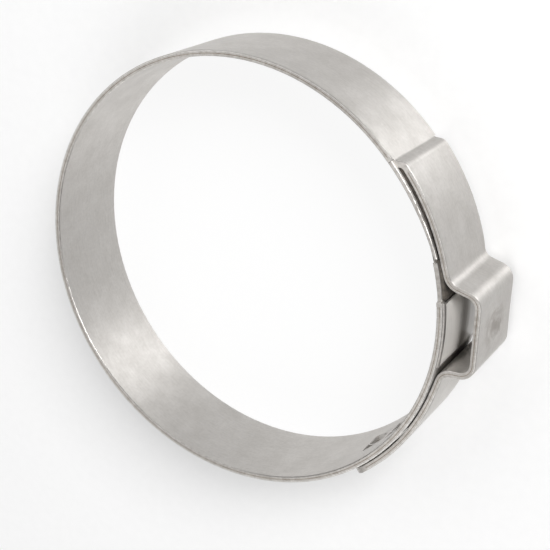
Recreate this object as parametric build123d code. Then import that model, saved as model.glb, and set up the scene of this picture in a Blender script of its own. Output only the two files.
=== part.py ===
from build123d import *
import math
import os

# Stepless ear hose clamp: one length of stainless strip, rolled into a ring that laps itself.
# The ring axis is Z, the resting edge of the band is the plane z = 0, and the middle of the ear
# lies on +X. Going along the strip from its inner end: tongue, shoulders, two hooks, round the
# ring, the step outwards with a rail left on each side, the ear, and the outer end whose windows
# catch the hooks. All sizes are millimetres and degrees.

os.makedirs("parts", exist_ok=True)

# --- strip stock and ring ---------------------------------------------------------------------
STRIP_WIDTH = 9.0
STRIP_THICKNESS = 0.6
BORE_RADIUS = 21.0
LAP_GAP = 0.12              # clearance between the two layers where the strip laps itself
EDGE_ROUND = 0.07           # soft corner that the slitting and tumbling leave on the long edges

BAND_OUTER = BORE_RADIUS + STRIP_THICKNESS
BAND_MID = BORE_RADIUS + STRIP_THICKNESS / 2
RAISED_INNER = BAND_OUTER + LAP_GAP
RAISED_MID = RAISED_INNER + STRIP_THICKNESS / 2
RAISED_OUTER = RAISED_INNER + STRIP_THICKNESS
MID_HEIGHT = STRIP_WIDTH / 2

# --- step, rails and tongue -------------------------------------------------------------------
STEP_FOOT_ANGLE = 43.0
STEP_BEND = 0.65            # middle radius of both bends of the step
RISER_RUN = 1.25            # distance along the ring between the centres of those bends
RAIL_WIDTH = 0.40
RAIL_END_ANGLE = 18.0
RAIL_ROOT_RELIEF = 0.2      # how far the rails start below the band's outer face
INNER_SHIFT = 4.0           # how far off centre the rails' inner curve is, which thins them
OUTER_SHIFT = 2.3           # how far off centre their outer curve is, which closes the gap
TONGUE_CLEARANCE = 0.12
TONGUE_THICKNESS = 0.45     # the tongue is coined thinner, so that it slides under the lap
TONGUE_TIP_ANGLE = 37.0
TONGUE_TIP_WIDTH = 4.0
TONGUE_TAPER_LENGTH = 3.0
SHOULDER_ANGLE = 7.4
SHOULDER_FILLET = 0.5
NECK_ANGLE = 17.0           # the neck between the shoulders and the rails is a little wider
NECK_SETBACK = 0.26
PAD_RISE = 0.14             # low pad raised on the band under the ear
PAD_END_ANGLE = -9.4
PAD_SETBACK = 0.09

# --- ear --------------------------------------------------------------------------------------
EAR_TOP = 24.75             # outer face of the bridge, measured from the ring axis
EAR_HALF_WIDTH = 4.22       # outer face of each leg, measured from the ear's middle plane
EAR_CREST_BEND = 1.2        # middle radius of the two convex folds
EAR_ROOT_BEND_UPPER = 1.4   # middle radius of the concave fold on the step side
EAR_ROOT_BEND_LOWER = 1.15  # middle radius of the concave fold on the hook side
EAR_ROOT_ANGLE_UPPER = 13.6
EAR_ROOT_ANGLE_LOWER = 12.8
EAR_WAIST_DEPTH = 0.40      # how far each edge of the ear is drawn in by the folding
EAR_WAIST_LENGTH = 12.0
DIMPLE_RADIUS = 5.0
DIMPLE_DEPTH = 0.28

# --- outer end, hooks and windows ---------------------------------------------------------------
FREE_END_ANGLE = 52.0       # measured past the ear, on the hook side
FREE_END_CORNER = 1.9
HOOK_ANGLES = (39.0, 47.4)
HOOK_LENGTH = 2.2
HOOK_WIDTH = 3.5            # width of the hook's arched end where it meets the band
HOOK_RISE = 0.64            # height of the arched end above the band
HOOK_WALL = 0.56
HOLLOW_WIDTH = 3.3
WINDOW_LENGTH = 2.6
WINDOW_WIDTH = 4.0
WINDOW_CORNER = 0.5
WINDOW_LEAD = 0.12          # clearance between a hook's open end and the window's far edge

RAISED_SETBACK = RAIL_WIDTH - TONGUE_CLEARANCE
TONGUE_WIDTH = STRIP_WIDTH - 2 * (RAIL_WIDTH + TONGUE_CLEARANCE)


def polar(radius, angle):
    """Point of the ring plane at a radius and an angle from the ear."""
    return Vector(radius * math.cos(math.radians(angle)), radius * math.sin(math.radians(angle)))


def heading(vector):
    """Direction of a vector in the ring plane, in degrees."""
    return math.degrees(math.atan2(vector.Y, vector.X))


def leg_heading(first, first_bend, second, second_bend, turn):
    """Direction from the first bend's centre to where the leg between two opposite bends leaves it."""
    span = second - first
    lean = math.degrees(math.acos((first_bend + second_bend) / span.length))
    return heading(span) + turn * lean


def bend(centre, radius, start, end):
    """Arc about a centre from one heading to another."""
    return CenterArc(centre, radius, start, end - start)


def step_centres():
    """Centres of the outward bend at the foot of the step and of the bend at its head."""
    foot = polar(BAND_MID + STEP_BEND, STEP_FOOT_ANGLE)
    head_angle = STEP_FOOT_ANGLE - math.degrees(RISER_RUN / RAISED_MID)
    head = polar(RAISED_MID - STEP_BEND, head_angle)
    return foot, head, head_angle


def strip_path():
    """Middle line of the strip from the shoulders of the inner end to the free outer end."""
    crest_x = EAR_TOP - STRIP_THICKNESS / 2 - EAR_CREST_BEND
    crest_y = EAR_HALF_WIDTH - STRIP_THICKNESS / 2 - EAR_CREST_BEND
    crest_upper = Vector(crest_x, crest_y)
    crest_lower = Vector(crest_x, -crest_y)
    root_upper = polar(RAISED_MID + EAR_ROOT_BEND_UPPER, EAR_ROOT_ANGLE_UPPER)
    root_lower = polar(RAISED_MID + EAR_ROOT_BEND_LOWER, -EAR_ROOT_ANGLE_LOWER)
    foot, head, head_angle = step_centres()

    riser = leg_heading(head, STEP_BEND, foot, STEP_BEND, -1)
    upper = leg_heading(crest_upper, EAR_CREST_BEND, root_upper, EAR_ROOT_BEND_UPPER, -1)
    lower = leg_heading(crest_lower, EAR_CREST_BEND, root_lower, EAR_ROOT_BEND_LOWER, 1)

    ring = bend((0, 0), BAND_MID, SHOULDER_ANGLE, STEP_FOOT_ANGLE - 360)
    foot_arc = bend(foot, STEP_BEND, STEP_FOOT_ANGLE + 180, riser + 180)
    head_arc = bend(head, STEP_BEND, riser, head_angle)
    raised = bend((0, 0), RAISED_MID, head_angle, EAR_ROOT_ANGLE_UPPER)
    root_in = bend(root_upper, EAR_ROOT_BEND_UPPER, EAR_ROOT_ANGLE_UPPER + 180, upper + 180)
    crest_in = bend(crest_upper, EAR_CREST_BEND, upper, 0)
    crest_out = bend(crest_lower, EAR_CREST_BEND, 0, lower)
    root_out = bend(root_lower, EAR_ROOT_BEND_LOWER, lower + 180, 180 - EAR_ROOT_ANGLE_LOWER)
    outer_end = bend((0, 0), RAISED_MID, -EAR_ROOT_ANGLE_LOWER, -FREE_END_ANGLE)
    return [
        ring,
        foot_arc,
        Line(foot_arc @ 1, head_arc @ 0),
        head_arc,
        raised,
        root_in,
        Line(root_in @ 1, crest_in @ 0),
        crest_in,
        Line(crest_in @ 1, crest_out @ 0),
        crest_out,
        Line(crest_out @ 1, root_out @ 0),
        root_out,
        outer_end,
    ]


def sector(inner, outer, start, end, bottom, top):
    """Block of ring between two radii, two angles and two heights."""
    inner_arc = bend((0, 0), inner, start, end)
    outer_arc = bend((0, 0), outer, start, end)
    outline = [inner_arc, outer_arc, Line(inner_arc @ 0, outer_arc @ 0), Line(inner_arc @ 1, outer_arc @ 1)]
    return extrude(Plane.XY.offset(bottom) * make_face(outline), top - bottom)


def tangent_plane(radius, angle):
    """Plane touching a cylinder of the ring: X along the strip towards the ear, Y upwards, Z outwards."""
    origin = polar(radius, angle) + Vector(0, 0, MID_HEIGHT)
    return Plane(origin=origin, x_dir=polar(1, angle + 90), z_dir=polar(1, angle))


def soften(solid):
    """Round the long edges of a piece of strip, where its edge faces meet its broad faces."""
    sides = [face for face in solid.faces() if abs(face.normal_at(face.center()).Z) > 0.9]
    edges = [edge for face in sides for edge in face.edges()]
    centres = [edge.center() for edge in edges]
    outline = []
    for edge, centre in zip(edges, centres):
        shared = sum(1 for other in centres if (other - centre).length < 1e-6)
        if shared == 1:
            outline.append(edge)
    return fillet(outline, EDGE_ROUND)


def full_band():
    """The strip at full width, from the shoulders round to the foot of the step."""
    band = sector(BORE_RADIUS, BAND_OUTER, SHOULDER_ANGLE, STEP_FOOT_ANGLE - 360, 0, STRIP_WIDTH)
    return soften(band)


def off_centre(radius, shift):
    """Cylinder that meets a radius at the foot of the step and leaves it by degrees, as it is off centre."""
    centre = polar(-shift, STEP_FOOT_ANGLE)
    body = Cylinder(radius + shift, STRIP_WIDTH, align=(Align.CENTER, Align.CENTER, Align.MIN))
    return Pos(centre.X, centre.Y, 0) * body


def rail(bottom):
    """Narrow edge left at the level of the band beside the step, thinner towards its end."""
    strip = sector(BORE_RADIUS, BAND_OUTER, RAIL_END_ANGLE, STEP_FOOT_ANGLE, bottom, bottom + RAIL_WIDTH)
    relieved = strip & off_centre(BAND_OUTER - RAIL_ROOT_RELIEF, OUTER_SHIFT)
    return soften(relieved - off_centre(BORE_RADIUS, INNER_SHIFT))


def neck():
    """Part of the tongue between the shoulders and the rails."""
    outer = BORE_RADIUS + TONGUE_THICKNESS
    top = STRIP_WIDTH - NECK_SETBACK
    return soften(sector(BORE_RADIUS, outer, SHOULDER_ANGLE - 1, NECK_ANGLE, NECK_SETBACK, top))


def pad():
    """Low pad on the band's outer face under the ear, which the closing ear slides over."""
    inner, outer = BAND_OUTER - STRIP_THICKNESS / 2, BAND_OUTER + PAD_RISE
    block = sector(inner, outer, PAD_END_ANGLE, SHOULDER_ANGLE, PAD_SETBACK, STRIP_WIDTH - PAD_SETBACK)
    return soften(block)


def tongue():
    """Inner end of the strip: narrower and thinner than the band, with a tapered tip."""
    middle = (SHOULDER_ANGLE + TONGUE_TIP_ANGLE) / 2
    plane = tangent_plane(0, middle)
    reach = BORE_RADIUS * math.sin(math.radians((TONGUE_TIP_ANGLE - SHOULDER_ANGLE) / 2))
    half, tip_half = TONGUE_WIDTH / 2, TONGUE_TIP_WIDTH / 2
    outline = Polyline(
        (-reach - SHOULDER_FILLET, -STRIP_WIDTH / 2),
        (-reach, -STRIP_WIDTH / 2),
        (-reach, -half),
        (reach - TONGUE_TAPER_LENGTH, -half),
        (reach, -tip_half),
        (reach, tip_half),
        (reach - TONGUE_TAPER_LENGTH, half),
        (-reach, half),
        (-reach, STRIP_WIDTH / 2),
        (-reach - SHOULDER_FILLET, STRIP_WIDTH / 2),
        close=True,
    )
    shape = make_face(outline)
    roots = [v for v in shape.vertices() if abs(v.X + reach) < 0.01 and abs(v.Y) < half + 0.01]
    shape = fillet(roots, SHOULDER_FILLET)
    tips = [v for v in shape.vertices() if abs(v.X - reach) < 0.01]
    shape = fillet(tips, SHOULDER_FILLET)
    column = extrude(plane * shape, BAND_OUTER)
    outer = BORE_RADIUS + TONGUE_THICKNESS
    return sector(BORE_RADIUS, outer, SHOULDER_ANGLE - 1, TONGUE_TIP_ANGLE + 2, 0, STRIP_WIDTH) & column


def waist(bottom_edge, side):
    """Large cylinder that draws in one edge of the ear; side is -1 below and 1 above."""
    half_length = EAR_WAIST_LENGTH / 2
    radius = (half_length**2 + EAR_WAIST_DEPTH**2) / (2 * EAR_WAIST_DEPTH)
    centre_height = bottom_edge + side * (radius - EAR_WAIST_DEPTH)
    reach = EAR_TOP - BORE_RADIUS + 2
    return Plane.YZ.offset(BORE_RADIUS - 1) * (Pos(0, centre_height, 0) * Cylinder(
        radius, reach, align=(Align.CENTER, Align.CENTER, Align.MIN)))


def free_end_trim():
    """Waste that leaves the outer end square with rounded corners."""
    plane = tangent_plane(RAISED_INNER - LAP_GAP / 2, -FREE_END_ANGLE)
    width = STRIP_WIDTH - 2 * RAISED_SETBACK
    length = 3 * FREE_END_CORNER
    keep = Pos(length / 2, 0) * Rectangle(length, width)
    corners = [v for v in keep.vertices() if abs(v.X) < 0.01]
    keep = fillet(corners, FREE_END_CORNER)
    waste = Pos(FREE_END_CORNER / 2 - length / 2, 0) * Rectangle(length + FREE_END_CORNER, STRIP_WIDTH * 2)
    return extrude(plane * (waste - keep), 3 * STRIP_THICKNESS)


def window(angle):
    """Window in the outer end that a hook stands in."""
    plane = tangent_plane(RAISED_INNER - LAP_GAP / 2, -angle)
    shift = (WINDOW_LENGTH - HOOK_LENGTH) / 2 - WINDOW_LEAD
    opening = Pos(shift, 0) * RectangleRounded(WINDOW_LENGTH, WINDOW_WIDTH, WINDOW_CORNER)
    return extrude(plane * opening, 3 * STRIP_THICKNESS)


def dimple_centre():
    """Centre of the ball that presses the dimple into the bridge of the ear."""
    return Pos(EAR_TOP - DIMPLE_DEPTH + DIMPLE_RADIUS, 0, MID_HEIGHT)


def raised_strip():
    """The step, the lap over the tongue, the ear and the outer end, as one bent strip."""
    trace = Wire(strip_path()[1:])
    outline = trace.offset_2d(STRIP_THICKNESS / 2, kind=Kind.ARC, side=Side.BOTH, closed=True)
    width = STRIP_WIDTH - 2 * RAISED_SETBACK
    strip = extrude(Plane.XY.offset(RAISED_SETBACK) * make_face(outline.edges()), width)
    strip -= sector(BORE_RADIUS - 1, BAND_OUTER + 1, STEP_FOOT_ANGLE, STEP_FOOT_ANGLE + 3, 0, STRIP_WIDTH)
    strip -= waist(RAISED_SETBACK, -1)
    strip -= waist(STRIP_WIDTH - RAISED_SETBACK, 1)
    return soften(strip) - free_end_trim()


def pressed_dimple(strip):
    """Press the dimple: material goes inwards on the inner face and leaves the outer one."""
    ball = dimple_centre() * Sphere(DIMPLE_RADIUS + STRIP_THICKNESS)
    face_x = EAR_TOP - STRIP_THICKNESS
    inner_side = Pos(face_x - DIMPLE_DEPTH / 2, 0, MID_HEIGHT) * Box(DIMPLE_DEPTH + 0.02, 8, 8)
    strip += ball & inner_side
    return strip - dimple_centre() * Sphere(DIMPLE_RADIUS)


def hook_frame(angle):
    """Plane at a hook's foot: X along the strip towards the ear, Y across it, Z outwards."""
    return tangent_plane(BAND_OUTER, -angle)


def louvre(length, rise, width, depth):
    """Arched ramp: a leaning cylinder that stands out at its -X end and dips under the face at its +X end."""
    radius = (width**2 / 4 + rise**2) / (2 * rise)
    lean = math.degrees(math.atan2(rise, length))
    roller = Cylinder(radius, 6 * length, rotation=(0, 90 + lean, 0))
    block = Box(length, width, rise + depth, align=(Align.CENTER, Align.CENTER, Align.MIN))
    return Pos(-length / 2, 0, rise - radius) * roller & Pos(0, 0, -depth) * block


def hook(angle):
    """Hook lanced and pressed out of the band: an arched ramp that rises away from the ear."""
    return hook_frame(angle) * louvre(HOOK_LENGTH, HOOK_RISE, HOOK_WIDTH, STRIP_THICKNESS / 3)


def hook_recess(angle):
    """Hollow under a hook, open to the bore, with the cut face of the band at its deep end."""
    rise = HOOK_RISE + STRIP_THICKNESS - HOOK_WALL
    length = HOOK_LENGTH * rise / HOOK_RISE
    frame = tangent_plane(BORE_RADIUS, -angle) * Pos((length - HOOK_LENGTH) / 2, 0, 0)
    return frame * louvre(length, rise, HOLLOW_WIDTH, STRIP_THICKNESS / 3)


def clamp_band():
    """The whole clamp as one solid."""
    band = full_band()
    lap = pressed_dimple(raised_strip())
    for angle in HOOK_ANGLES:
        band = band + hook(angle) - hook_recess(angle)
        lap = lap - window(angle)
    clamp = band + lap
    for bottom in (0, STRIP_WIDTH - RAIL_WIDTH):
        clamp = clamp + rail(bottom)
    return clamp + pad() + neck() + tongue()


clamp = clamp_band()
export_step(clamp, "parts/clamp_band.step")
print("clamp_band volume", round(clamp.volume, 1), "mm3, mass", round(clamp.volume * 7.9e-3, 2), "g")
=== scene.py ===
# %% [markdown]
# An ear hose clamp is one strip of stainless steel, rolled into a ring and locked to itself by
# pressed hooks. The folded ear on its side is squeezed with pincers, which shortens the ring and
# closes it on a hose. The solid is loaded as it is, and this script adds what makes it look real:
# the finish of the rolled strip, the look of its cut edges, a plain studio and a camera.

import math

import bpy
from mathutils import Matrix, Vector


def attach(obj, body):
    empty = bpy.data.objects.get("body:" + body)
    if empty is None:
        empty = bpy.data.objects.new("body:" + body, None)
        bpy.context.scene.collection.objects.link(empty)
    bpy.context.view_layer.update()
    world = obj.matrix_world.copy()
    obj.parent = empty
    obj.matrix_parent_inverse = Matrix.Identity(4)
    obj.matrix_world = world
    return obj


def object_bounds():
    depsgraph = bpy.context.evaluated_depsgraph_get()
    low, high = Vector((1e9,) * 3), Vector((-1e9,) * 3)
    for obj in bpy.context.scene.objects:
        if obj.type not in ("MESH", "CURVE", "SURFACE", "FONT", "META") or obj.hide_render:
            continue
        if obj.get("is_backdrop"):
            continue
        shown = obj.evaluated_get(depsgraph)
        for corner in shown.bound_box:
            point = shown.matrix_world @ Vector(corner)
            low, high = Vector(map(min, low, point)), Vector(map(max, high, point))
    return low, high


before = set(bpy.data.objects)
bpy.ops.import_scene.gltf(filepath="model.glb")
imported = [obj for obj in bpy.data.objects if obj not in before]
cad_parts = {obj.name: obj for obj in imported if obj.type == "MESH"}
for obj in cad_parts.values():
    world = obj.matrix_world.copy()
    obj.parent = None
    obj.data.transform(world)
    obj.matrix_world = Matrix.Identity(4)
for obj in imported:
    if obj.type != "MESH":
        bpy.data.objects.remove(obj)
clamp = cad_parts["clamp_band"]
MM = 0.001


def plain(box):
    """The two corners of a box as lists of plain numbers."""
    return [[float(value) for value in corner] for corner in box]


sizes = {"loaded": plain(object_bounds())}
print("clamp", [round((high - low) / MM, 2) for low, high in zip(*sizes["loaded"])], "mm")

# %% [markdown]
# The small pieces added here have to lie on the strip, so they follow its middle line.
# That line could be read off the mesh, but it is clearer to lay it out from bend radii.
# Every bend is an arc about a centre, and straight legs join one arc to the next where both
# are tangent.

# %% Sizes of the strip, in millimetres and degrees
STRIP_WIDTH = 9.0
STRIP_THICKNESS = 0.6
BORE_RADIUS = 21.0
LAP_GAP = 0.12
BAND_MID = BORE_RADIUS + STRIP_THICKNESS / 2
RAISED_MID = BAND_MID + STRIP_THICKNESS + LAP_GAP
SHOULDER_ANGLE = 7.4
STEP_FOOT_ANGLE = 43.0
STEP_BEND = 0.65
RISER_RUN = 1.25
EAR_TOP = 24.75
EAR_HALF_WIDTH = 4.22
EAR_CREST_BEND = 1.2
EAR_ROOT_BENDS = {"upper": 1.4, "lower": 1.15}
EAR_ROOT_ANGLES = {"upper": 13.6, "lower": -12.8}
EAR_WAIST_DEPTH = 0.40
EAR_WAIST_LENGTH = 12.0
FREE_END_ANGLE = 52.0
FREE_END_CORNER = 1.9
HOOK_ANGLES = (39.0, 47.4)
HOLLOW_SPAN = (-1.10, 1.24)
HOLLOW_WIDTH = 3.3
RAISED_SETBACK = 0.28
print("strip", STRIP_WIDTH, "x", STRIP_THICKNESS, "mm")


# %% Arcs and the strip's middle line
RING_CENTRE = Vector((0, 0))


def polar(radius, angle):
    """Point of the ring plane at a radius and an angle from the ear, in millimetres."""
    return Vector((radius * math.cos(math.radians(angle)), radius * math.sin(math.radians(angle))))


def heading(vector):
    return math.degrees(math.atan2(vector.y, vector.x))


def arc(centre, radius, start, end, step=0.12):
    """Points along an arc, about step millimetres apart."""
    count = max(4, math.ceil(abs(math.radians(end - start)) * radius / step))
    return [centre + polar(radius, start + (end - start) * i / count) for i in range(count + 1)]


def leg_heading(first, first_bend, second, second_bend, turn):
    """Direction from a bend's centre to where the leg between two opposite bends leaves it."""
    span = second - first
    lean = math.degrees(math.acos((first_bend + second_bend) / span.length))
    return heading(span) + turn * lean


def raised_line():
    """Middle line of the outer layer: step, lap, ear and outer end."""
    inset = STRIP_THICKNESS / 2 + EAR_CREST_BEND
    crest = Vector((EAR_TOP - inset, EAR_HALF_WIDTH - inset))
    crests = {"upper": crest, "lower": Vector((crest.x, -crest.y))}
    bends, angles = EAR_ROOT_BENDS, EAR_ROOT_ANGLES
    roots = {side: polar(RAISED_MID + bends[side], angles[side]) for side in crests}
    foot = polar(BAND_MID + STEP_BEND, STEP_FOOT_ANGLE)
    head_angle = STEP_FOOT_ANGLE - math.degrees(RISER_RUN / RAISED_MID)
    head = polar(RAISED_MID - STEP_BEND, head_angle)
    riser = leg_heading(head, STEP_BEND, foot, STEP_BEND, -1)
    upper = leg_heading(crests["upper"], EAR_CREST_BEND, roots["upper"], bends["upper"], -1)
    lower = leg_heading(crests["lower"], EAR_CREST_BEND, roots["lower"], bends["lower"], 1)
    points = arc(foot, STEP_BEND, STEP_FOOT_ANGLE + 180, riser + 180)
    points += arc(head, STEP_BEND, riser, head_angle)
    points += arc(RING_CENTRE, RAISED_MID, head_angle, angles["upper"])
    points += arc(roots["upper"], bends["upper"], angles["upper"] + 180, upper + 180)
    points += arc(crests["upper"], EAR_CREST_BEND, upper, 0)
    points += arc(crests["lower"], EAR_CREST_BEND, 0, lower)
    points += arc(roots["lower"], bends["lower"], lower + 180, 180 + angles["lower"])
    points += arc(RING_CENTRE, RAISED_MID, angles["lower"], -FREE_END_ANGLE)
    return points


inner_line = arc(RING_CENTRE, BAND_MID, SHOULDER_ANGLE, STEP_FOOT_ANGLE - 360)
outer_line = raised_line()
print("middle lines", len(inner_line), len(outer_line), "points")

# %% [markdown]
# A shader is a graph of small nodes, and long maths in it is hard to read as boxes and wires.
# The class below wraps one output socket so that the maths reads as ordinary expressions.
# Vectors go through Vector Math, because a plain Math node keeps only one number.


# %% A socket that does maths
class Socket:
    """One output socket of a shader graph; + - * / on it add the nodes they need."""

    def __init__(self, graph, output):
        self.graph = graph
        self.output = output

    def maths(self, operation, *values):
        return self.graph.node("ShaderNodeMath", {"operation": operation}, dict(enumerate(values)))

    def __add__(self, other):
        return self.maths("ADD", self, other)

    def __mul__(self, other):
        return self.maths("MULTIPLY", self, other)

    def __sub__(self, other):
        return self.maths("SUBTRACT", self, other)

    def __rsub__(self, other):
        return self.maths("SUBTRACT", other, self)

    def __truediv__(self, other):
        return self.maths("DIVIDE", self, other)

    __radd__ = __add__
    __rmul__ = __mul__

    def clamped(self, low, high):
        """This value rescaled so that low becomes 0 and high becomes 1, and held there."""
        return self.graph.node("ShaderNodeMapRange", {"clamp": True}, {0: self, 1: low, 2: high})


class Graph:
    """The node graph of one material."""

    def __init__(self, name):
        self.material = bpy.data.materials.new(name)
        self.material.use_nodes = True
        self.nodes = self.material.node_tree.nodes
        self.links = self.material.node_tree.links
        self.nodes.clear()

    def node(self, kind, settings=None, inputs=None, output=0):
        """Adds one node: its settings first, then the values or links of its sockets."""
        made = self.nodes.new(kind)
        for name, value in (settings or {}).items():
            setattr(made, name, value)
        for name, value in (inputs or {}).items():
            if isinstance(value, Socket):
                self.links.new(value.output, made.inputs[name])
            else:
                made.inputs[name].default_value = value
        return Socket(self, made.outputs[output])

    def noise(self, vector, scale, detail=3.0, roughness=0.5):
        inputs = {"Vector": vector, "Scale": scale, "Detail": detail, "Roughness": roughness}
        return self.node("ShaderNodeTexNoise", {"noise_dimensions": "3D"}, inputs)

    def mix(self, factor, first, second):
        """Two colours mixed by a factor."""
        inputs = {0: factor, 6: first, 7: second}
        return self.node("ShaderNodeMix", {"data_type": "RGBA"}, inputs, output=2)

    def stretched(self, along, across, along_scale, across_scale):
        """Noise coordinates stretched along or across the strip."""
        inputs = {0: along * along_scale, 1: across * across_scale, 2: 0.0}
        return self.node("ShaderNodeCombineXYZ", None, inputs)

    def length(self, vector):
        """How long a vector is."""
        return self.node("ShaderNodeVectorMath", {"operation": "LENGTH"}, {0: vector}, "Value")

    def bump(self, strength, distance, height):
        """A fine relief for the Normal socket."""
        inputs = {"Strength": strength, "Distance": distance * MM, "Height": height}
        return self.node("ShaderNodeBump", None, inputs)

    def finish(self, surface):
        made = self.nodes.new("ShaderNodeOutputMaterial")
        self.links.new(surface.output, made.inputs["Surface"])
        print("material", self.material.name, len(self.nodes), "nodes")
        return self.material


# %% [markdown]
# Clamp strip is cold-rolled stainless steel: satin, slightly warm, with a fine grain along it.
# The cut edges look different: slitting leaves them rougher, with short marks across the thickness.
# Grain along the ring needs its own coordinates, so the shader turns x and y into an angle round
# the ring, and stretches the noise along it. The edges are found by their normal, which points
# along the ring's axis. The grain also spreads reflections across the strip, which the shader's
# anisotropy does, turned by a quarter.

# %% Coordinates on the strip
EDGE_NORMAL = (0.75, 0.95)


def strip_coordinates(graph):
    """Place in millimetres, place along and across the strip, and 1 on the cut edges."""
    place = graph.node("ShaderNodeTexCoord", None, None, "Object")
    place = graph.node("ShaderNodeVectorMath", {"operation": "SCALE"}, {0: place, "Scale": 1 / MM})
    x, y, z = (graph.node("ShaderNodeSeparateXYZ", None, {0: place}, name) for name in "XYZ")
    along = x.maths("ARCTAN2", y, x) * BAND_MID
    normal = graph.node("ShaderNodeNewGeometry", None, None, "True Normal")
    facing = graph.node("ShaderNodeSeparateXYZ", None, {0: normal}, "Z")
    edge = facing.maths("ABSOLUTE", facing).clamped(*EDGE_NORMAL)
    return place, along, z, edge


# %% The rolled steel
STEEL = (0.675, 0.655, 0.632, 1)
STEEL_DEEP = (0.525, 0.505, 0.48, 1)
EDGE_LIGHT = (0.61, 0.585, 0.555, 1)
EDGE_DARK = (0.43, 0.405, 0.375, 1)
DIMPLE_DARK_COLOUR = (0.30, 0.265, 0.235, 1)
DIMPLE_MIDDLE = (EAR_TOP, -0.2, STRIP_WIDTH / 2)
GRAIN_STRETCH = 0.85
ACROSS_GRAIN = 0.25
TONE_RANGE = (0.36, 0.64)
CUT_RANGE = (0.35, 0.62)
DIMPLE_DARK_REACH = (0.9, 3.2)
DIMPLE_BLOTCH_RANGE = (0.36, 0.60)
DIMPLE_DARK_STRENGTH = 0.55
EDGE_DULLNESS = 0.6


def rolled_steel():
    """Satin strip with grain, faint blotches and rough cut edges."""
    graph = Graph("stainless_band")
    place, along, across, edge = strip_coordinates(graph)
    grain = graph.noise(graph.stretched(along, across, 0.35, 5.0), 1.6, 4.0, 0.62)
    speckle = graph.noise(place, 3.4, 3.0, 0.6)
    blotch = graph.noise(place, 0.42, 3.0, 0.6)
    marks = graph.noise(graph.stretched(along, across, 2.4, 0.3), 1.0, 2.0, 0.6)
    tone = (grain * 0.35 + speckle * 0.25 + blotch * 0.4).clamped(*TONE_RANGE)
    face = graph.mix(tone, STEEL_DEEP, STEEL)
    # Round the dimple on the ear the colour turns darker, in soft blotches.
    between = {0: place, 1: DIMPLE_MIDDLE}
    offset = graph.node("ShaderNodeVectorMath", {"operation": "SUBTRACT"}, between)
    dimple_blotches = graph.noise(place, 0.9, 3.0, 0.55).clamped(*DIMPLE_BLOTCH_RANGE)
    dimple_darkening = (1 - graph.length(offset).clamped(*DIMPLE_DARK_REACH)) * dimple_blotches
    face = graph.mix(dimple_darkening * DIMPLE_DARK_STRENGTH, face, DIMPLE_DARK_COLOUR)
    cut = graph.mix((marks * 0.5 + speckle * 0.5).clamped(*CUT_RANGE), EDGE_DARK, EDGE_LIGHT)
    colour = graph.mix(edge, face, cut)
    rough = 0.33 + blotch * 0.10 + grain * 0.10 + edge * 0.06
    height = grain * 0.5 + speckle * 0.35 + edge * marks * 0.4
    inputs = {"Base Color": colour, "Metallic": 1.0 - edge * EDGE_DULLNESS}
    inputs |= {"Roughness": rough, "Normal": graph.bump(0.30, 0.012, height)}
    inputs |= {"Anisotropic": GRAIN_STRETCH, "Anisotropic Rotation": ACROSS_GRAIN}
    return graph.finish(graph.node("ShaderNodeBsdfPrincipled", None, inputs))


steel = rolled_steel()
for slot in clamp.material_slots:
    slot.material = steel

# %% [markdown]
# A slit edge isn't one flat grey. The blade first rolls the corner over, then cuts a smooth band,
# and the last part breaks off, which leaves a thin dark line with a bright one beside it.
# Those lines are far too thin for noise to draw, so they are made as narrow ribbons along the edge.
# A ribbon is a row of points on the strip's middle line, shifted sideways by its place in the
# thickness.

# %% Ribbons along the cut edges
LINE_LIFT = 0.006
END_MARGIN = 0.3
CORNER_MARGIN = FREE_END_CORNER + 0.1
SHORTEST_STEP = 1e-6
WAIST_RADIUS = ((EAR_WAIST_LENGTH / 2) ** 2 + EAR_WAIST_DEPTH**2) / (2 * EAR_WAIST_DEPTH)
DARK_LINE = (-0.01, 0.05)
BRIGHT_LINE = (-0.215, -0.165)


def waist(point):
    """How far the raised strip's edge draws in at a point, in millimetres."""
    if point.x < 0 or abs(point.y) >= EAR_WAIST_LENGTH / 2:
        return 0.0
    return math.sqrt(WAIST_RADIUS**2 - point.y**2) - (WAIST_RADIUS - EAR_WAIST_DEPTH)


def ribbon(line, place, low, high, tail=END_MARGIN):
    """A flat ribbon on one cut edge: place gives the two offsets from the middle line."""
    vertices, faces = [], []
    length = 0.0
    total = sum((b - a).length for a, b in zip(line, line[1:]))
    for i, point in enumerate(line):
        if i:
            length += (point - line[i - 1]).length
        if not END_MARGIN < length < total - tail:
            continue
        ahead = line[min(i + 1, len(line) - 1)] - line[max(i - 1, 0)]
        if ahead.length < SHORTEST_STEP:
            continue
        ahead.normalize()
        side = Vector((ahead.y, -ahead.x))
        height = high(point) + LINE_LIFT if high else low(point) - LINE_LIFT
        for offset in place:
            spot = point + side * offset
            vertices.append((spot.x * MM, spot.y * MM, height * MM))
    for i in range(len(vertices) // 2 - 1):
        corners = (2 * i, 2 * i + 1, 2 * i + 3, 2 * i + 2)
        faces.append(corners if high else corners[::-1])
    return vertices, faces


def piece(name, parts, material):
    """One object from several lists of vertices and faces."""
    vertices, faces = [], []
    for part_vertices, part_faces in parts:
        start = len(vertices)
        vertices += part_vertices
        faces += [tuple(start + corner for corner in face) for face in part_faces]
    mesh = bpy.data.meshes.new(name)
    mesh.from_pydata(vertices, [], faces)
    mesh.materials.append(material)
    made = bpy.data.objects.new(name, mesh)
    bpy.context.scene.collection.objects.link(made)
    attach(made, "root")
    print(name, len(faces), "faces")
    return made


LINE_AND_HOLLOW_METALLIC = 0.35


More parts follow.
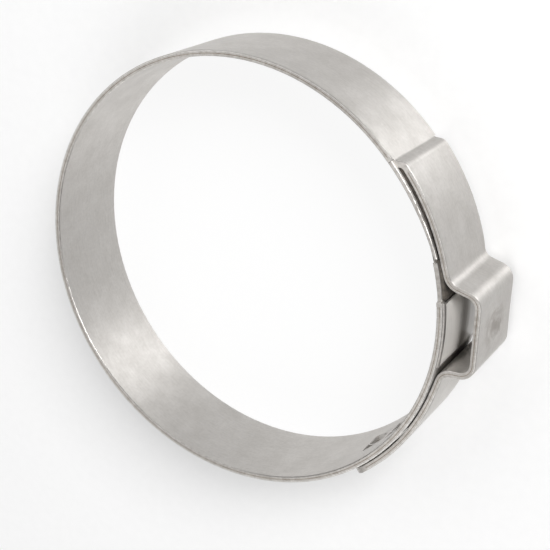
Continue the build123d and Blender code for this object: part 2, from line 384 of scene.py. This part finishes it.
def edge_and_hollow_metal(name, colour, deep, roughness):
    """The finish of a line on the cut edge, broken up along its length. The same finishes paint the
    shade and the highlight in the hook hollows.
    """
    graph = Graph(name)
    place = strip_coordinates(graph)[0]
    breaks = graph.noise(place, 2.6, 3.0, 0.6)
    tone = graph.mix(breaks.clamped(0.38, 0.6), deep, colour)
    fine = graph.noise(place, 14.0, 2.0, 0.5)
    inputs = {"Base Color": tone, "Metallic": LINE_AND_HOLLOW_METALLIC}
    inputs |= {"Roughness": roughness + breaks * 0.12, "Normal": graph.bump(0.5, 0.01, fine)}
    return graph.finish(graph.node("ShaderNodeBsdfPrincipled", None, inputs))


# These colours draw the cut-edge lines, and they also serve as painted shade and painted highlight
# in the hook hollows.
FRACTURE_AND_SHADE_BROWN = (0.20, 0.155, 0.115, 1)
FRACTURE_AND_SHADE_TAN = (0.36, 0.31, 0.26, 1)
BURNISH_AND_HIGHLIGHT_LIGHT = (0.84, 0.82, 0.79, 1)
BURNISH_AND_HIGHLIGHT_DEEP = (0.64, 0.62, 0.59, 1)
dark_metal = edge_and_hollow_metal("fracture_and_painted_shade", FRACTURE_AND_SHADE_BROWN, FRACTURE_AND_SHADE_TAN, 0.5)
bright_metal = edge_and_hollow_metal("burnish_and_painted_highlight", BURNISH_AND_HIGHLIGHT_LIGHT, BURNISH_AND_HIGHLIGHT_DEEP, 0.3)


def band_top(point):
    return STRIP_WIDTH


def raised_top(point):
    return STRIP_WIDTH - RAISED_SETBACK - waist(point)


def band_foot(point):
    return 0.0


def raised_foot(point):
    return RAISED_SETBACK + waist(point)


# The start of the step is left out, where the raised strip only begins to rise.
STEP_POINTS = 12
past_step = outer_line[STEP_POINTS:]
edge_lines = {"dark": (DARK_LINE, dark_metal), "bright": (BRIGHT_LINE, bright_metal)}
for tone_name, (places, metal) in edge_lines.items():
    parts = [
        ribbon(inner_line, places, None, band_top),
        ribbon(past_step, places, None, raised_top, CORNER_MARGIN),
        ribbon(inner_line, places, band_foot, None),
        ribbon(past_step, places, raised_foot, None, CORNER_MARGIN),
    ]
    piece("edge_lines_" + tone_name, parts, metal)

# %% [markdown]
# On the real clamp the gap between the layers lies in shadow and looks dark. In the solid the side
# rails stand a little clear of the outer layer, so light from the floor comes through there. This
# dark sheet is no part of a real clamp: it is painted shade, a blocker put inside the lap. Closing
# the gap in the solid would be the better cure.

# %% Painted shade in the lap
LAP_RADII = (21.56, 21.70)
LAP_ANGLES = (17.6, 28.5)
LAP_HEIGHTS = (0.47, 8.53)
SIDE_RADII = (21.06, 21.70)
SIDE_ANGLES = (17.6, 42.4)
SIDE_HEIGHTS = {"foot": (0.47, 0.62), "top": (8.38, 8.53)}
NECK_RADII = (21.30, 21.68)
NECK_ANGLES = (7.75, 17.6)
NECK_HEIGHTS = (0.40, 8.60)


def sector(radii, angles, heights, steps=24):
    """A curved bar between two radii, two angles and two heights."""
    vertices, faces = [], []
    for i in range(steps + 1):
        angle = angles[0] + (angles[1] - angles[0]) * i / steps
        for radius, height in ((0, 0), (1, 0), (1, 1), (0, 1)):
            spot = polar(radii[radius], angle)
            vertices.append((spot.x * MM, spot.y * MM, heights[height] * MM))
    for i in range(steps):
        for j in range(4):
            k = (j + 1) % 4
            faces.append((4 * i + j, 4 * i + k, 4 * i + 4 + k, 4 * i + 4 + j))
    faces += [(3, 2, 1, 0), tuple(4 * steps + j for j in range(4))]
    return vertices, faces


GAP_SHADE_DARK = (0.050, 0.043, 0.036, 1)
GAP_SHADE_BROWN = (0.125, 0.108, 0.090, 1)


def gap_shade():
    """Painted shade: a dull dark brown with slow changes."""
    graph = Graph("gap_shade")
    place = strip_coordinates(graph)[0]
    shade_noise = graph.noise(place, 2.2, 3.0, 0.6)
    colour = graph.mix(shade_noise.clamped(0.35, 0.65), GAP_SHADE_DARK, GAP_SHADE_BROWN)
    inputs = {"Base Color": colour, "Roughness": 0.55 + shade_noise * 0.2}
    inputs |= {"Normal": graph.bump(0.4, 0.02, shade_noise)}
    return graph.finish(graph.node("ShaderNodeBsdfPrincipled", None, inputs))


lap = sector(LAP_RADII, LAP_ANGLES, LAP_HEIGHTS, 60)
neck = sector(NECK_RADII, NECK_ANGLES, NECK_HEIGHTS, 24)
sides = [sector(SIDE_RADII, SIDE_ANGLES, heights, 30) for heights in SIDE_HEIGHTS.values()]
# This piece is a dark sheet of painted shade inside the lap.
piece("lap_painted_shade", [lap, neck, *sides], gap_shade())

# %% [markdown]
# Each hook leaves a hollow inside the ring, which looks dark with a bright rim. The dark part is
# painted shade and the rim a painted highlight, thin strips laid out from a rule for the half width
# along the strip and wrapped on to the bore. Known fault: the rule widens towards the ear, and the
# hollow in the solid widens away from it, so both pieces lie the wrong way round and cross the
# hollow's outline. Turning the share in half_mouth round, and the dark strip's span with it, would
# be the place to start.

# %% Painted highlight on the rims and painted shade in the hook hollows
MOUTH_LIFT = 0.015
HOLLOW_SHADE_DEPTH = 0.20
RIM_HIGHLIGHT_WIDTH = 0.13
MOUTH_POWER = 0.75
HOLLOW_SHADE_START = 0.10
HOLLOW_SHADE_INSET = 0.05
HOLLOW_SHADE_SIDE_INSET = 0.1


def half_mouth(run):
    """Half width of a hollow's mouth at a distance along the strip."""
    share = (run - HOLLOW_SPAN[0]) / (HOLLOW_SPAN[1] - HOLLOW_SPAN[0])
    return HOLLOW_WIDTH / 2 * max(0.0, share) ** MOUTH_POWER


def wrapped(angle, run, across, radius):
    spot = polar(radius, -angle + math.degrees(run / BORE_RADIUS))
    return (spot.x * MM, spot.y * MM, (STRIP_WIDTH / 2 + across) * MM)


def mouth_strip(angle, span, radius, first, second, count=14):
    """A strip on the bore between two edges, each given as a side and a widening."""
    vertices = []
    for i in range(count + 1):
        run = span[0] + (span[1] - span[0]) * i / count
        for side, widening in (first, second):
            across = side * (half_mouth(run) + widening)
            vertices.append(wrapped(angle, run, across, radius))
    return vertices, [(2 * i, 2 * i + 1, 2 * i + 3, 2 * i + 2) for i in range(count)]


rim_highlights, hollow_shades = [], []
deep = (HOLLOW_SHADE_START, HOLLOW_SPAN[1] - HOLLOW_SHADE_INSET)
for angle in HOOK_ANGLES:
    for side in (-1, 1):
        edges = ((side, 0.0), (side, RIM_HIGHLIGHT_WIDTH))
        rim_highlights.append(mouth_strip(angle, HOLLOW_SPAN, BORE_RADIUS - MOUTH_LIFT, *edges))
    edges = ((-1, -HOLLOW_SHADE_SIDE_INSET), (1, -HOLLOW_SHADE_SIDE_INSET))
    hollow_shades.append(mouth_strip(angle, deep, BORE_RADIUS + HOLLOW_SHADE_DEPTH, *edges))
# The rim strips are a painted highlight, and the strips deep in the hollows are painted shade.
piece("hollow_rim_highlight", rim_highlights, bright_metal)
piece("hollow_painted_shade", hollow_shades, dark_metal)

# %% [markdown]
# The pad under the ear shows three tones across its width: light on one side, dark, then grey.
# They are reflections and shade, and a crowned pad is meant to catch them. The crown alone doesn't
# do it. So the tones are painted reflection and painted shade, set by height, which is a guess and
# stays put under any light, and the low crown, a grid of points whose radius follows a parabola,
# is a guess too.

# %% Crowned pad under the ear, with painted reflection and shade
PAD_RADIUS = 21.75
PAD_CROWN = 0.30
PAD_ANGLES = (-9.0, 7.0)
PAD_HEIGHTS = (0.5, 8.55)


def crowned_pad(rows=24, columns=28):
    vertices, faces = [], []
    middle, reach = sum(PAD_HEIGHTS) / 2, (PAD_HEIGHTS[1] - PAD_HEIGHTS[0]) / 2
    for i in range(rows + 1):
        angle = PAD_ANGLES[0] + (PAD_ANGLES[1] - PAD_ANGLES[0]) * i / rows
        ends = min(1.0, min(i, rows - i) / 2)
        for j in range(columns + 1):
            height = PAD_HEIGHTS[0] + 2 * reach * j / columns
            rise = PAD_CROWN * (1 - ((height - middle) / reach) ** 2) * ends
            spot = polar(PAD_RADIUS + rise, angle)
            vertices.append((spot.x * MM, spot.y * MM, height * MM))
    for i in range(rows):
        for j in range(columns):
            k = i * (columns + 1) + j
            faces.append((k, k + columns + 1, k + columns + 2, k + 1))
    return vertices, faces


# The three pad colours are painted reflection and painted shade.
PAD_PAINTED_REFLECTION = (0.90, 0.87, 0.83, 1)
PAD_SHADE = (0.24, 0.22, 0.20, 1)
PAD_GREY = (0.66, 0.645, 0.62, 1)
PAD_NEAR = (5.6, 6.5)
PAD_FAR = (3.9, 4.9)
PAD_DULLNESS = 0.65


def pad_painted_light():
    """Painted reflection and shade across the strip: light, dark and grey, with streaks."""
    graph = Graph("pad_painted_light")
    along, across = strip_coordinates(graph)[1:3]
    streaks = graph.noise(graph.stretched(along, across, 0.5, 4.0), 1.4, 3.0, 0.6)
    drift = across + streaks * 0.9
    near = drift.clamped(*PAD_NEAR)
    far = 1 - drift.clamped(*PAD_FAR)
    colour = graph.mix(far, PAD_SHADE, PAD_GREY)
    colour = graph.mix(near, colour, PAD_PAINTED_REFLECTION)
    colour = graph.mix(streaks.clamped(0.55, 0.75) * 0.3, colour, STEEL_DEEP)
    inputs = {"Base Color": colour, "Metallic": 1.0 - near * PAD_DULLNESS}
    inputs |= {"Roughness": 0.30 + streaks * 0.12, "Normal": graph.bump(0.3, 0.012, streaks)}
    return graph.finish(graph.node("ShaderNodeBsdfPrincipled", None, inputs))


crown = piece("pad_crown", [crowned_pad()], pad_painted_light())
for face in crown.data.polygons:
    face.use_smooth = True

# %% [markdown]
# The studio is a pale floor under a white world with a few large soft lamps.
# Satin steel shows what stands round it, so the lamps are wide, with darker stretches between.
# Part of what the camera sees of the floor glows white, and the rest is lit paper that keeps the
# shadow. Inside the ring the glow is much stronger, so the shadow that a real floor would show
# there is mostly gone.

# %% Floor, world and lamps
FLOOR_SIZE = 4.0
FLOOR_DROP = 0.05 * MM
FLOOR_GLOW = 0.22
RING_GLOW = 0.65
GLOW_FADE = 3.0
PAPER_DARK = (0.88, 0.88, 0.88, 1)
PAPER_LIGHT = (0.92, 0.92, 0.92, 1)
WHITE = (1, 1, 1, 1)


def camera_rays(graph):
    """1 for rays that end up in the picture directly, in a mirror or through glass."""
    kinds = ("Is Camera Ray", "Is Glossy Ray", "Is Transmission Ray")
    first, second, third = (graph.node("ShaderNodeLightPath", None, None, kind) for kind in kinds)
    total = first + second + third
    return total.maths("MINIMUM", total, 1.0)


def floor_paper():
    graph = Graph("floor_paper")
    place = graph.node("ShaderNodeTexCoord", None, None, "Object")
    fibre = graph.noise(place, 900.0, 2.0, 0.5)
    colour = graph.mix(fibre, PAPER_DARK, PAPER_LIGHT)
    inputs = {"Base Color": colour, "Roughness": 0.9}
    paper = graph.node("ShaderNodeBsdfPrincipled", None, inputs)
    glow = graph.node("ShaderNodeEmission", None, {"Color": WHITE, "Strength": 1.0})
    fade = (BORE_RADIUS * MM, (BORE_RADIUS + GLOW_FADE) * MM)
    inside = 1 - graph.length(place).clamped(*fade)
    factor = camera_rays(graph) * (inside * RING_GLOW + FLOOR_GLOW)
    mixed = graph.node("ShaderNodeMixShader", None, {0: factor, 1: paper, 2: glow})
    return graph.finish(mixed)


half = FLOOR_SIZE / 2
floor_mesh = bpy.data.meshes.new("floor")
corners = [(-half, -half, 0), (half, -half, 0), (half, half, 0), (-half, half, 0)]
floor_mesh.from_pydata(corners, [], [(0, 1, 2, 3)])
floor_mesh.materials.append(floor_paper())
floor = bpy.data.objects.new("floor", floor_mesh)
floor.location.z = -FLOOR_DROP
bpy.context.scene.collection.objects.link(floor)
floor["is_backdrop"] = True


def lamp(name, place, size, power):
    """A square soft lamp that looks at the middle of the ring."""
    light = bpy.data.lights.new(name, "AREA")
    light.size = size
    light.energy = power
    made = bpy.data.objects.new(name, light)
    made.location = place
    made.rotation_euler = (-Vector(place)).to_track_quat("-Z", "Y").to_euler()
    bpy.context.scene.collection.objects.link(made)
    return made


LAMP_DISTANCE = 0.55
WORLD_LEVEL = 0.30


def studio_place(azimuth, elevation):
    """A point round the part at an azimuth and an elevation in degrees."""
    lift = math.radians(elevation)
    level = polar(LAMP_DISTANCE * math.cos(lift), azimuth)
    return (level.x, level.y, LAMP_DISTANCE * math.sin(lift))


lamp("key", studio_place(48, 34), 0.24, 2.75)
lamp("fill", studio_place(-82, 42), 0.40, 1.0)
lamp("side", studio_place(148, 42), 0.40, 0.6)

world = bpy.data.worlds.new("studio")
world.use_nodes = True
background = world.node_tree.nodes["Background"]
background.inputs["Color"].default_value = WHITE
background.inputs["Strength"].default_value = WORLD_LEVEL
bpy.context.scene.world = world
print("studio", len(bpy.data.lights), "lamps")

# %% [markdown]
# The camera looks down on the ring at a slant, from the side of the ear.
# Its place and its directions are written in the part's own frame, in metres.

# %% Camera
PICTURE = 550
FOCAL_PIXELS = 1205
CENTRE_PIXEL = (310, 210)
SENSOR = 36.0
POSITION = Vector((0.05593, 0.04661, 0.09752))
RIGHT = Vector((0.87113, 0.04194, -0.48927))
UP = Vector((-0.20795, 0.93413, -0.29016))

camera_data = bpy.data.cameras.new("camera")
camera_data.sensor_width = SENSOR
camera_data.lens = SENSOR * FOCAL_PIXELS / PICTURE
camera_data.shift_x = (PICTURE / 2 - CENTRE_PIXEL[0]) / PICTURE
camera_data.shift_y = (CENTRE_PIXEL[1] - PICTURE / 2) / PICTURE
camera_data.clip_start = 0.005
camera_data.clip_end = 20
camera = bpy.data.objects.new("camera", camera_data)
back = RIGHT.cross(UP).normalized()
level_up = back.cross(RIGHT).normalized()
turn = Matrix((RIGHT.normalized(), level_up, back)).transposed()
camera.matrix_world = Matrix.Translation(POSITION) @ turn.to_4x4()
bpy.context.scene.collection.objects.link(camera)
bpy.context.scene.camera = camera
bpy.context.scene.view_settings.view_transform = "Standard"
print("camera", round(camera_data.lens, 1), "mm")

# %% Finish
sizes["finished"] = plain(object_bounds())
